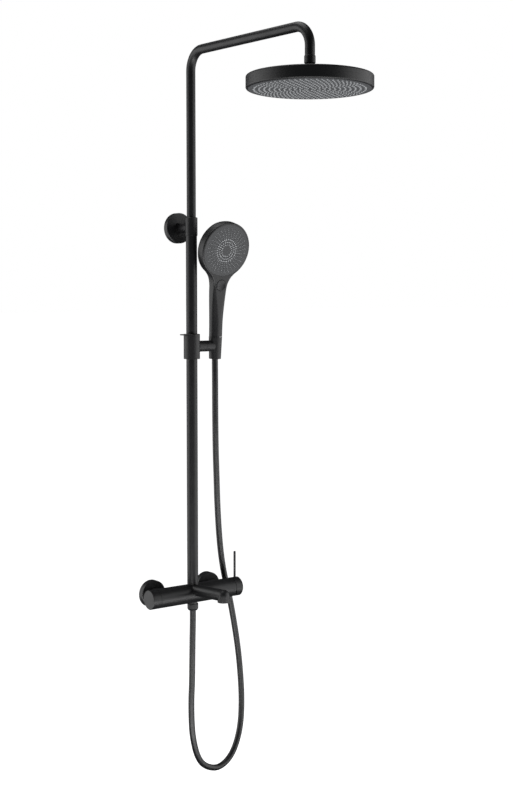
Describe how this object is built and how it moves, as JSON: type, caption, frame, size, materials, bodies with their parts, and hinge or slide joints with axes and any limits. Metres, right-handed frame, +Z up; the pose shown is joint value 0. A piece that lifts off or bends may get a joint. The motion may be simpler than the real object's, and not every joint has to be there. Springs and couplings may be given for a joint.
{
  "type": "rainfall shower column",
  "caption": "Wall-mounted shower column: bar mixer with spout, telescopic riser with overhead arm and round rain head, sliding holder with hand shower and hose.",
  "frame": {"origin": "on the wall plane, midway between the two water inlets, at the height of the mixer's axis", "axes": "+Z up along the riser; -Y away from the wall towards the user; +X to the right seen from the front, towards the lever"},
  "size_m": [0.2851, 0.6038, 1.625],
  "materials": {
    "matt_black": "satin",
    "matt_black_plastic": "matte",
    "face_grey": "matte",
    "silicone": "matte",
    "hose_pvc": "satin",
    "brass": "turned",
    "steel": "brushed",
    "nylon": "matte",
    "rubber": "matte"
  },
  "bodies": {
    "root": {"lower_riser_tube": "matt_black", "riser_collar": "matt_black", "collar_seal": "rubber", "collar_grub_screw": "steel", "riser_seals": "rubber", "bracket_post": "matt_black", "bracket_disc": "matt_black", "bracket_wall_plate": "steel", "bracket_screws": "steel", "post_screw": "steel", "mixer_body": "matt_black", "spout": "matt_black", "aerator": "face_grey", "mixing_cartridge": "nylon", "cartridge_nut": "brass", "diverter_cartridge": "nylon", "diverter_nut": "brass", "inlet_unions": "matt_black", "inlet_nuts": "matt_black", "inlet_washers": "rubber", "check_valves": "nylon", "escutcheons": "matt_black", "outlet_nipple": "matt_black", "hose_nut": "matt_black", "hose_washer": "rubber", "shower_hose": "hose_pvc"},
    "telescope": {"telescope_bush": "nylon"},
    "overhead_arm": {"upper_riser_arm": "matt_black", "arm_nut": "matt_black", "ball_stem": "matt_black"},
    "ball_seal": {"ball_washer": "rubber"},
    "head_cup": {"ball_cup": "matt_black", "cup_retainer": "brass"},
    "rain_head": {"head_shell": "matt_black_plastic", "head_face_plate": "face_grey", "head_nozzle_mat": "silicone", "head_water_plate": "nylon", "head_screws": "steel"},
    "slider_clamp": {"slider_bush": "nylon"},
    "slider": {"slider_body": "matt_black_plastic", "holder_arm": "matt_black_plastic", "holder_pivot": "steel"},
    "release": {"release_tab": "matt_black_plastic"},
    "holder": {"holder_socket": "matt_black_plastic"},
    "hand_shower": {"handset_shell": "matt_black_plastic", "handset_face": "face_grey", "handset_nozzle_mat": "silicone", "handset_nipple": "matt_black", "hose_cone_nut": "matt_black_plastic"},
    "button": {"spray_button": "matt_black_plastic"},
    "temperature": {"cartridge_carrier": "steel"},
    "lever": {"cartridge_stem": "steel", "lever_cap": "matt_black", "lever_pin": "matt_black", "lever_grub_screw": "steel"},
    "diverter": {"diverter_stem": "steel", "diverter_knob": "matt_black"}
  },
  "joints": [
    {"name": "riser_height", "type": "slide", "parent": "root", "child": "telescope", "axis": [0, 0, 1], "range_m": [-0.24, 0.1]},
    {"name": "arm_swivel", "type": "hinge", "parent": "telescope", "child": "overhead_arm", "pos_m": [0, -0.058, 0.7], "axis": [0, 0, 1], "range_deg": [-45, 45]},
    {"name": "head_tilt", "type": "hinge", "parent": "overhead_arm", "child": "ball_seal", "pos_m": [0, -0.464, 1.104], "axis": [1, 0, 0], "range_deg": [-13.6, 16.4]},
    {"name": "head_lean", "type": "hinge", "parent": "ball_seal", "child": "head_cup", "pos_m": [0, -0.464, 1.104], "axis": [0, 1, 0], "range_deg": [-16.1, 13.9]},
    {"name": "head_turn", "type": "hinge", "parent": "head_cup", "child": "rain_head", "pos_m": [0, -0.464, 1.104], "axis": [0.0192, 0.0244, 0.9995], "continuous": true},
    {"name": "slider_height", "type": "slide", "parent": "root", "child": "slider_clamp", "axis": [0, 0, 1], "range_m": [-0.3, 0.16], "deforming": ["shower_hose"]},
    {"name": "slider_swivel", "type": "hinge", "parent": "slider_clamp", "child": "slider", "pos_m": [0, -0.058, 0.5525], "axis": [0, 0, 1], "range_deg": [-60, 25], "deforming": ["shower_hose"]},
    {"name": "release_press", "type": "slide", "parent": "slider", "child": "release", "axis": [1, 0, 0], "range_m": [0, 0.0025], "stiffness_N_per_m": 400},
    {"name": "holder_tilt", "type": "hinge", "parent": "slider", "child": "holder", "pos_m": [0.0635, -0.058, 0.5525], "axis": [1, 0, 0], "range_deg": [-1, 40], "deforming": ["shower_hose"]},
    {"name": "handset_lift", "type": "slide", "parent": "holder", "child": "hand_shower", "axis": [0, -0.0436, 0.999], "range_m": [0, 0.06], "deforming": ["shower_hose"]},
    {"name": "spray_press", "type": "slide", "parent": "hand_shower", "child": "button", "axis": [0, 0.9954, 0.0958], "range_m": [0, 0.002], "stiffness_N_per_m": 600},
    {"name": "temperature_turn", "type": "hinge", "parent": "root", "child": "temperature", "pos_m": [0.107, -0.058, 0], "axis": [1, 0, 0], "range_deg": [-25, 50]},
    {"name": "flow_tilt", "type": "hinge", "parent": "temperature", "child": "lever", "pos_m": [0.107, -0.058, 0], "axis": [0, 1, 0], "range_deg": [0, 12]},
    {"name": "diverter_turn", "type": "hinge", "parent": "root", "child": "diverter", "pos_m": [-0.0966, -0.058, 0], "axis": [1, 0, 0], "range_deg": [-60, 60]}
  ]
}
